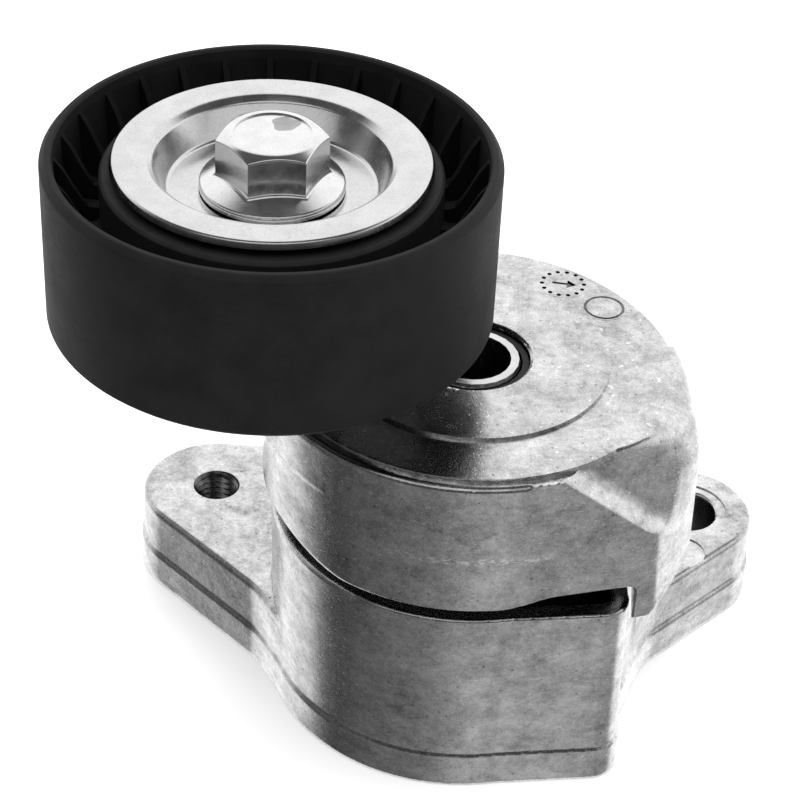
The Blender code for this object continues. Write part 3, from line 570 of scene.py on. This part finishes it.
HEAD_LOW, HEAD_HIGH = (-11.8, -11.8, -0.4), (11.8, 11.8, 9.9)
HEAD_TURN = 39                  # degrees; the direction one flat faces
HALF_FLATS, HEAD_TOP = 7.5, 9.3
CROWN_RADIUS, CROWN_Z = 5.9, 9.05           # the shallow dish in the head's top
CONE_RADIUS, FLANGE_RADIUS = 6.7, 11.15
FLANGE_RISE_RADIUS, FLANGE_RISE_Z = 7.0, 2.9
BOLT_Z = 97.4                   # where the flange's lower face sits
SHANK_RADIUS, SHANK_END_RADIUS, SHANK_Z, SHANK_END_Z = 4.9, 4.2, 97.35, 64.2
BOLT_PITCH, BOLT_DEPTH = 1.5, 0.85
EAR_PITCH, EAR_DEPTH, EAR_CREST = 1.25, 0.62, 4.0


def head_field(x, y, z):
    """Flanged hexagon head in its own axes, up from the flange's lower face at z = 0."""
    radius = np.hypot(x, y)
    flats = np.full(np.shape(radius), -1e9)
    for index in range(6):
        angle = math.radians(HEAD_TURN + 60 * index)
        flats = np.maximum(flats, x * math.cos(angle) + y * math.sin(angle) - HALF_FLATS)
    cone = (radius - CONE_RADIUS) * 0.5 + (z - HEAD_TOP) * 0.866
    head = round_meet(round_meet(flats, z - HEAD_TOP, 0.15), cone, 0.2)
    crown = np.maximum(radius - CROWN_RADIUS, CROWN_Z - z)
    head = np.maximum(head, -crown)
    flange_top = (radius - FLANGE_RISE_RADIUS) * 0.40 + (z - FLANGE_RISE_Z) * 0.917
    flange = round_meet(radius - FLANGE_RADIUS, flange_top, 0.25)
    flange = np.maximum(flange, 0.02 - z)
    groove = 0.28 - np.hypot(radius - 11.3, z - 0.62)
    flange = np.maximum(flange, groove)
    solid = hollow_join(flange, head, 0.45)
    return np.maximum(solid, -z)


def thread_wobble(pitch, depth, low, high):
    """A lathe wobble that winds a V thread of a pitch and depth between two heights."""
    def wobble(radius, height, angle):
        turn = height / pitch - angle / (2 * math.pi)
        ridge = np.abs(2 * (turn - np.floor(turn)) - 1)
        ends = ease(height, low, low + pitch) * (1 - ease(height, high - pitch, high))
        return radius - depth * ridge * ends, height
    return wobble


def threaded_wall(radius, low, high, step):
    """Profile points up a wall of one radius, close enough together to carry a thread."""
    return [(radius, z, 0) for z in np.arange(low, high, step)]


def make_bolt(zinc, paint):
    """The pulley's bolt: its head, its shank with a thread in the post, and a dab of paint."""
    points, faces = contour(head_field, HEAD_LOW, HEAD_HIGH, HEAD_GRID)
    points = points + (PULLEY_X, PULLEY_Y, BOLT_Z)
    add_piece("bolt_head", points, faces, "arm", zinc, ("pulley_bolt",), 40)
    wall = threaded_wall(SHANK_RADIUS, 65.0, 97.3, 0.25)
    shank = [(SHANK_RADIUS, SHANK_Z, 0)] + wall[::-1] + [(SHANK_END_RADIUS, SHANK_END_Z, 0),
                                                         (0.01, SHANK_END_Z, 0), (0.01, SHANK_Z, 0)]
    turned_piece("bolt_shank", shank, "arm", zinc, segments=48,
                 wobble=thread_wobble(BOLT_PITCH, BOLT_DEPTH, 64.8, 84.0))
    spot = [(0.01, 106.47, 0), (1.9, 106.49, 0), (2.15, 106.44, 0), (2.15, 106.40, 0), (0.01, 106.40, 0)]

    def blob(radius, height, angle):
        return radius * (1 + 0.10 * np.sin(3 * angle + 1.0) + 0.06 * np.sin(5 * angle)), height

    turned_piece("paint_dot", spot, "arm", paint, segments=64,
                 at=(-30.5, -0.9), wobble=blob)


def make_round_mark(metal, painted_shade_aluminium):
    """A plain ejector-pin mark on the arm's top: a disc inside a narrow groove, with painted shade in the
    groove.
    """
    top = RING_Z + 0.03
    r = MARK_RADIUS
    outline = [(0.01, top, 0), (r - 0.25, top, 0.03), (r - 0.2, top - 0.34, 0), (r + 0.18, top - 0.34, 0),
               (r + 0.22, top, 0.03), (r + 0.5, top, 0), (r + 0.5, top - 0.05, 0), (0.01, top - 0.4, 0)]
    turned_piece("round_mark", outline, "arm", metal, segments=72, at=MARK,
                 second=(painted_shade_aluminium, lambda x, y, z: z < RING_Z - 0.1))


def make_ear_thread(metal, painted_shade_aluminium):
    """The tapped thread in the left ear: an M8 sleeve that lines the cast hole, open at the top. Its inside
    carries painted shade.
    """
    crests = threaded_wall(EAR_CREST, 0.9, 15.7, 0.125)
    outline = [(4.38, 15.98, 0), (4.38, 0.8, 0), (4.1, 0.8, 0)]
    outline += crests + [(4.04, 15.8, 0), (4.18, 15.98, 0)]

    def wind(radius, height, angle):
        turn = height / EAR_PITCH - angle / (2 * math.pi)
        ridge = np.abs(2 * (turn - np.floor(turn)) - 1) * (1 - ease(height, 15.2, 15.8))
        return np.where(radius < EAR_CREST + 0.02, radius - EAR_DEPTH * ridge, radius), height

    # Faces inside the hole, which get painted shade.
    def inside(x, y, z):
        return np.hypot(x - EAR_LEFT[0], y - EAR_LEFT[1]) < 4.15

    turned_piece("ear_thread", outline, "base", metal, segments=72, sharp=20,
                 at=EAR_LEFT, wobble=wind, second=(painted_shade_aluminium, inside))


# ---- materials ------------------------------------------------------------------------
class Surface:
    """A material, with short calls for adding and wiring its nodes. Noise sizes are in millimetres."""

    def __init__(self, name, metallic, roughness, colour=(0.5, 0.5, 0.5), specular=0.5):
        self.material = bpy.data.materials.new(name)
        self.material.use_nodes = True
        self.tree = self.material.node_tree
        self.shader = self.tree.nodes["Principled BSDF"]
        self.shader.inputs["Metallic"].default_value = metallic
        self.shader.inputs["Roughness"].default_value = roughness
        self.shader.inputs["Specular IOR Level"].default_value = specular
        self.shader.inputs["Base Color"].default_value = (*colour, 1.0)
        place = self.tree.nodes.new("ShaderNodeTexCoord")
        self.place = place.outputs["Object"]

    def wire(self, node, inputs):
        for name, value in inputs.items():
            socket = node.inputs[name]
            if isinstance(value, bpy.types.NodeSocket):
                self.tree.links.new(value, socket)
            else:
                socket.default_value = value
        return node

    def scaled(self, x, y, z, source=None):
        """Coordinates in units of x, y and z millimetres."""
        node = self.tree.nodes.new("ShaderNodeVectorMath")
        node.operation = 'MULTIPLY'
        self.wire(node, {0: source or self.place, 1: (1 / (x * MM), 1 / (y * MM), 1 / (z * MM))})
        return node.outputs[0]

    def axis(self, index):
        node = self.tree.nodes.new("ShaderNodeSeparateXYZ")
        self.tree.links.new(self.place, node.inputs[0])
        return node.outputs[index]

    def noise(self, where, detail=3.0, roughness=0.5, distortion=0.0):
        node = self.tree.nodes.new("ShaderNodeTexNoise")
        self.wire(node, {"Vector": where, "Scale": 1.0, "Detail": detail, "Roughness": roughness,
                         "Distortion": distortion})
        return node.outputs[0]

    def cells(self, where):
        node = self.tree.nodes.new("ShaderNodeTexVoronoi")
        self.wire(node, {"Vector": where, "Scale": 1.0})
        return node.outputs["Distance"]

    def ramp(self, value, low, high, start=0.0, end=1.0):
        """Map low..high to start..end, held at both ends."""
        node = self.tree.nodes.new("ShaderNodeMapRange")
        node.interpolation_type = 'SMOOTHSTEP'
        self.wire(node, {"Value": value, "From Min": low, "From Max": high, "To Min": start, "To Max": end})
        return node.outputs["Result"]

    def maths(self, operation, a, b=0.0):
        node = self.tree.nodes.new("ShaderNodeMath")
        node.operation = operation
        self.wire(node, {0: a, 1: b})
        return node.outputs[0]

    def total(self, *values):
        result = values[0]
        for value in values[1:]:
            result = self.maths('ADD', result, value)
        return result

    def grey(self, value):
        node = self.tree.nodes.new("ShaderNodeCombineColor")
        self.wire(node, {0: value, 1: value, 2: value})
        return node.outputs[0]

    def colour(self, socket):
        self.tree.links.new(socket, self.shader.inputs["Base Color"])

    def roughness(self, socket):
        self.tree.links.new(socket, self.shader.inputs["Roughness"])

    def bump(self, height, depth, strength):
        """Depth is the real height of the relief, in millimetres, when height goes from 0 to 1."""
        node = self.tree.nodes.new("ShaderNodeBump")
        self.wire(node, {"Height": height, "Distance": depth * MM, "Strength": strength})
        self.tree.links.new(node.outputs[0], self.shader.inputs["Normal"])


def cast_aluminium(name, scuffs=0.2, row=None, shade=1.0):
    """Bare die casting: fine grain, faint flow marks, pores, dark stains and small bright scuffs.
    row is the height, middle and half length in millimetres of a row of extra scuffs that faces
    the front. shade dims the whole surface; the dimmed copy is painted shade for holes and recesses."""
    s = Surface(name, 1.0, 0.3)
    broad = s.noise(s.scaled(13.0, 13.0, 7.0), 3.0, 0.55, 0.4)
    blotch = s.noise(s.scaled(5.0, 5.0, 3.6), 5.0, 0.62, 0.3)
    mottle = s.noise(s.scaled(1.1, 1.1, 0.9), 3.0, 0.65)
    grain = s.noise(s.scaled(0.30, 0.30, 0.26), 2.0, 0.6)
    stain = s.ramp(s.noise(s.scaled(7.0, 7.0, 5.0), 4.0, 0.7, 0.6), 0.54, 0.70)
    pores = s.ramp(s.cells(s.scaled(2.1, 2.1, 2.1)), 0.07, 0.16, 0.0, 1.0)
    fleck_noise = s.noise(s.scaled(0.95, 0.95, 0.34), 2.0, 0.6)
    fleck = s.ramp(fleck_noise, 0.64, 0.72)
    if row is not None:
        height, middle, reach = row
        away = s.maths('ABSOLUTE', s.maths('SUBTRACT', s.axis(2), height * MM))
        along = s.maths('ABSOLUTE', s.maths('SUBTRACT', s.axis(0), middle * MM))
        near = s.maths('MULTIPLY', s.ramp(away, 0.4 * MM, 0.9 * MM, 1.0, 0.0),
                       s.ramp(along, (reach - 2.0) * MM, reach * MM, 1.0, 0.0))
        near = s.maths('MULTIPLY', near, s.ramp(s.axis(1), 0.0, 2.0 * MM, 1.0, 0.0))
        fleck = s.maths('MAXIMUM', fleck, s.maths('MULTIPLY', near, s.ramp(fleck_noise, 0.50, 0.58)))
    value = s.total(s.ramp(blotch, 0.32, 0.68, 0.46, 0.65), s.ramp(broad, 0.35, 0.65, -0.05, 0.05),
                    s.ramp(mottle, 0.28, 0.72, -0.08, 0.08), s.ramp(grain, 0.25, 0.75, -0.10, 0.10),
                    s.maths('MULTIPLY', fleck, scuffs), s.maths('MULTIPLY', stain, -0.14),
                    s.ramp(pores, 0.0, 1.0, -0.2, 0.0))
    s.colour(s.grey(s.maths('MULTIPLY', value, shade)))
    s.roughness(s.total(s.ramp(blotch, 0.3, 0.7, 0.26, 0.20), s.ramp(grain, 0.3, 0.7, -0.03, 0.03)))
    relief = s.total(s.maths('MULTIPLY', grain, 0.35), s.maths('MULTIPLY', mottle, 0.5),
                     s.maths('MULTIPLY', blotch, 0.8), s.maths('MULTIPLY', pores, 0.3),
                     s.maths('MULTIPLY', fleck, 0.25))
    s.bump(relief, 0.045, 0.7)
    return s.material


def zinc_plate(name, value=0.62, roughness=0.17):
    """Bright zinc plating with fine straight scratch lines running two ways and faint handling marks."""
    s = Surface(name, 1.0, roughness)
    haze = s.noise(s.scaled(4.0, 4.0, 4.0), 3.0, 0.6)
    scratch = s.noise(s.scaled(6.0, 0.12, 2.0), 2.0, 0.5)
    across = s.noise(s.scaled(0.14, 5.0, 2.0), 2.0, 0.5)
    fine = s.noise(s.scaled(0.25, 0.25, 0.25), 2.0, 0.5)
    dark = s.ramp(s.noise(s.scaled(0.8, 0.8, 0.8), 3.0, 0.6), 0.64, 0.72)
    s.colour(s.grey(s.total(s.ramp(haze, 0.3, 0.7, value - 0.04, value + 0.04),
                            s.ramp(fine, 0.3, 0.7, -0.03, 0.03), s.maths('MULTIPLY', dark, -0.12))))
    s.roughness(s.total(s.ramp(haze, 0.3, 0.7, roughness - 0.03, roughness + 0.05),
                        s.ramp(scratch, 0.5, 0.75, 0.0, 0.08)))
    height = s.total(s.maths('MULTIPLY', scratch, 0.4), s.maths('MULTIPLY', across, 0.4),
                     s.maths('MULTIPLY', fine, 0.3), haze)
    s.bump(height, 0.02, 0.3)
    return s.material


def moulded_plastic(name, value=0.012, roughness=0.6, specular=0.13):
    """Black glass-filled nylon with a faint moulding texture."""
    s = Surface(name, 0.0, roughness, specular=specular)
    cloud = s.noise(s.scaled(7.0, 7.0, 7.0), 3.0, 0.6)
    fine = s.noise(s.scaled(0.3, 0.3, 0.3), 2.0, 0.6)
    streak = s.noise(s.scaled(2.5, 2.5, 0.25), 2.0, 0.6)
    s.colour(s.grey(s.total(s.ramp(cloud, 0.3, 0.7, value * 0.85, value * 1.2),
                            s.ramp(fine, 0.3, 0.7, -value * 0.1, value * 0.1))))
    s.roughness(s.total(s.ramp(cloud, 0.3, 0.7, roughness - 0.04, roughness + 0.04),
                        s.ramp(streak, 0.4, 0.7, -0.02, 0.04)))
    s.bump(s.total(fine, s.maths('MULTIPLY', streak, 0.6)), 0.012, 0.4)
    return s.material


def plain_steel(name, value, roughness):
    """Smooth steel of one brightness, faintly clouded."""
    s = Surface(name, 1.0, roughness)
    cloud = s.noise(s.scaled(3.0, 3.0, 3.0), 3.0, 0.6)
    fine = s.noise(s.scaled(0.2, 0.2, 2.0), 2.0, 0.5)
    s.colour(s.grey(s.ramp(cloud, 0.3, 0.7, value * 0.85, value * 1.1)))
    s.roughness(s.ramp(fine, 0.3, 0.7, roughness - 0.04, roughness + 0.06))
    s.bump(fine, 0.01, 0.4)
    return s.material


# ---- light, floor and camera ------------------------------------------------------------
def set_world():
    """A studio as a sphere of light: bright behind and to both sides of the back, dim in front."""
    world = bpy.data.worlds.new("studio")
    bpy.context.scene.world = world
    world.use_nodes = True
    nodes, links = world.node_tree.nodes, world.node_tree.links
    background = nodes["Background"]

    def maths(operation, a, b=0.0):
        node = nodes.new("ShaderNodeMath")
        node.operation = operation
        for socket, value in zip(node.inputs, (a, b)):
            if isinstance(value, bpy.types.NodeSocket):
                links.new(value, socket)
            else:
                socket.default_value = value
        return node.outputs[0]

    def ramp(value, stops):
        """Brightness along the stops, for a value of 0 at -180 and 1 at 180."""
        node = nodes.new("ShaderNodeValToRGB")
        links.new(value, node.inputs[0])
        node.color_ramp.interpolation = 'EASE'
        elements = node.color_ramp.elements
        while len(elements) > 1:
            elements.remove(elements[-1])
        for index, (degrees, level) in enumerate(stops):
            place = (degrees + 180) / 360
            stop = elements[0] if index == 0 else elements.new(place)
            stop.position = place
            stop.color = (level / LEVEL, level / LEVEL, level / LEVEL, 1.0)
        return node.outputs[0]

    def blend(share, a, b):
        node = nodes.new("ShaderNodeMix")
        node.data_type = 'RGBA'
        links.new(share, node.inputs["Factor"])
        links.new(a, node.inputs["A"])
        links.new(b, node.inputs["B"])
        return node.outputs["Result"]

    def smooth(value, start, end):
        node = nodes.new("ShaderNodeMapRange")
        node.interpolation_type = 'SMOOTHSTEP'
        links.new(value, node.inputs["Value"])
        node.inputs["From Min"].default_value = start
        node.inputs["From Max"].default_value = end
        return node.outputs["Result"]

    direction = nodes.new("ShaderNodeTexCoord").outputs["Generated"]
    split = nodes.new("ShaderNodeSeparateXYZ")
    links.new(direction, split.inputs[0])
    azimuth = maths('ADD', maths('DIVIDE', maths('ARCTAN2', split.outputs[1], split.outputs[0]),
                                 2 * math.pi), 0.5)
    low = ramp(azimuth, LOW_LIGHT)
    high = ramp(azimuth, HIGH_LIGHT)
    top = ramp(maths('ADD', maths('MULTIPLY', split.outputs[1], 0.5), 0.5), TOP_LIGHT)
    sides = blend(smooth(split.outputs[2], -0.15, 0.12), low, high)
    links.new(blend(smooth(split.outputs[2], 0.45, 0.75), sides, top), background.inputs["Color"])
    background.inputs["Strength"].default_value = LEVEL


# LEVEL is brighter than any stop. A low or high stop is (azimuth in degrees, brightness), with +Y,
# behind the part, at 90. The top's stops run from the front, -180, over the zenith, 0, to the back.
LEVEL = 1.6
LOW_LIGHT = ((-180, 0.17), (-175, 0.10), (-166, 0.07), (-142, 0.16), (-118, 0.22), (-100, 0.27),
             (-86, 0.42), (-73, 0.60), (-60, 0.46), (-50, 0.40), (-40, 0.44), (-20, 0.40), (-6, 0.40),
             (0, 0.46), (9, 1.1), (20, 1.45), (90, 1.5), (145, 1.35), (163, 1.1), (170, 0.75), (176, 0.28),
             (180, 0.17))
HIGH_LIGHT = ((-180, 0.25), (-172, 0.12), (-155, 0.10), (-110, 0.06), (-70, 0.06), (-40, 0.20),
              (-25, 0.42), (-12, 0.75), (0, 1.1), (14, 1.25), (90, 1.28), (150, 1.2), (166, 0.9),
              (175, 0.4), (180, 0.25))
TOP_LIGHT = ((-180, 0.1), (-155, 0.9), (-88, 0.9), (-64, 0.08), (46, 0.10), (80, 1.0), (100, 1.25))


def set_lamp():
    """A wide soft light overhead that whitens the floor; nothing mirrors it."""
    lamp = bpy.data.lights.new("overhead", 'AREA')
    lamp.shape = 'DISK'
    lamp.size = 1.6
    lamp.energy = 20.0
    holder = bpy.data.objects.new("overhead", lamp)
    holder.location = (0, 0, 1.1)
    holder.visible_glossy = False
    bpy.context.scene.collection.objects.link(holder)


def set_floor():
    """A large pale floor, whose far edge no view reaches."""
    size, drop = 2.5, 0.0001
    count = 24
    axis = np.linspace(-size, size, count)
    mesh = bpy.data.meshes.new("floor")
    vertices = [(x, y, -drop) for y in axis for x in axis]
    faces = [(j * count + i, j * count + i + 1, (j + 1) * count + i + 1, (j + 1) * count + i)
             for j in range(count - 1) for i in range(count - 1)]
    mesh.from_pydata(vertices, [], faces)
    s = Surface("floor_paper", 0.0, 0.9, (0.9, 0.9, 0.9), 0.1)
    s.shader.inputs["Emission Color"].default_value = (1, 1, 1, 1)
    s.shader.inputs["Emission Strength"].default_value = 0.3
    mesh.materials.append(s.material)
    floor = bpy.data.objects.new("floor", mesh)
    bpy.context.scene.collection.objects.link(floor)
    floor.visible_glossy = False


CAMERA_PLACE = (-0.01122, -0.31412, 0.28498)
CAMERA_PITCH, CAMERA_ROLL = 36.161, 2.875       # degrees
CAMERA_LENS, CAMERA_SENSOR = 107.04, 36         # millimetres


def set_camera():
    """The main view: from in front and above, with a slight roll."""
    pitch, roll = math.radians(CAMERA_PITCH), math.radians(CAMERA_ROLL)
    forward = Vector((0, math.cos(pitch), -math.sin(pitch)))
    level_up = Vector((0, math.sin(pitch), math.cos(pitch)))
    across = Vector((1, 0, 0))
    right = across * math.cos(roll) + level_up * math.sin(roll)
    up = level_up * math.cos(roll) - across * math.sin(roll)
    camera = bpy.data.objects.new("camera", bpy.data.cameras.new("camera"))
    camera.data.lens = CAMERA_LENS
    camera.data.sensor_width = CAMERA_SENSOR
    bpy.context.scene.collection.objects.link(camera)
    turn = Matrix((right, up, -forward)).transposed().to_4x4()
    camera.matrix_world = Matrix.Translation(CAMERA_PLACE) @ turn
    bpy.context.scene.camera = camera
    bpy.context.scene.view_settings.view_transform = 'Standard'


# ---- putting it together ------------------------------------------------------------------
aluminium = cast_aluminium("cast_aluminium")
scuffed = cast_aluminium("cast_aluminium_scuffed", 0.3, (49.6, 0.5, 14.0))
# A darker copy of the casting colour: painted shade for hole walls, sunk marks and the cup's inside.
painted_shade_aluminium = cast_aluminium("cast_aluminium_painted_shade", shade=0.28)
zinc = zinc_plate("zinc_plate")
bright_zinc = zinc_plate("bright_zinc_plate", 0.72, 0.14)
plastic = moulded_plastic("black_nylon")
finishes = {
    "cast_aluminium": aluminium,
    "zinc_plated_steel": zinc,
    "black_plastic": plastic,
    "dark_polymer": moulded_plastic("dark_polymer", 0.02, 0.5),
    "seal_rubber": moulded_plastic("seal_rubber", 0.015, 0.7),
    "bright_steel": plain_steel("bearing_steel", 0.62, 0.2),
    "spring_steel": plain_steel("spring_steel", 0.16, 0.35),
}
slot_of = {entry["node"]: entry["material_slot"] for entry in frame["record"]["subparts"]}
for node, thing in frame["nodes"].items():
    thing.data.materials.clear()
    thing.data.materials.append(finishes[slot_of[node]])

points, faces = contour(arm_field, ARM_LOW, ARM_HIGH, CASTING_GRID)
# The arm's bore walls take the painted-shade copy of the casting colour.
add_piece("arm_skin", points, faces, "arm", scuffed, ("arm_casting",), 42,
          second=(painted_shade_aluminium, in_arm_bore))
points, faces = contour(stamp_field, (STAMP[0] - 5.2, STAMP[1] - 5.2, RING_Z - 0.8),
                        (STAMP[0] + 5.2, STAMP[1] + 5.2, RING_Z + 0.3), STAMP_GRID)
# The stamp's sunk dots and arrow take the painted-shade copy.
add_piece("date_insert", points, faces, "arm", aluminium, sharp=35,
          second=(painted_shade_aluminium, in_stamp))
points, faces = contour(base_field, BASE_LOW, BASE_HIGH, CASTING_GRID)
# The base's bolt bore, spine bore and the cup's inside take the painted-shade copy.
add_piece("base_skin", points, faces, "base", aluminium, ("base_housing",), 42,
          second=(painted_shade_aluminium, in_base_bores))
make_round_mark(aluminium, painted_shade_aluminium)
make_ear_thread(aluminium, painted_shade_aluminium)
make_pulley(plastic, moulded_plastic("black_nylon_ribs", 0.006, 0.7, 0.06))
make_stack(zinc, plain_steel("dark_steel", 0.05, 0.4))
make_bolt(bright_zinc, moulded_plastic("grey_paint", 0.26, 0.6))

set_world()
set_lamp()
set_floor()
set_camera()
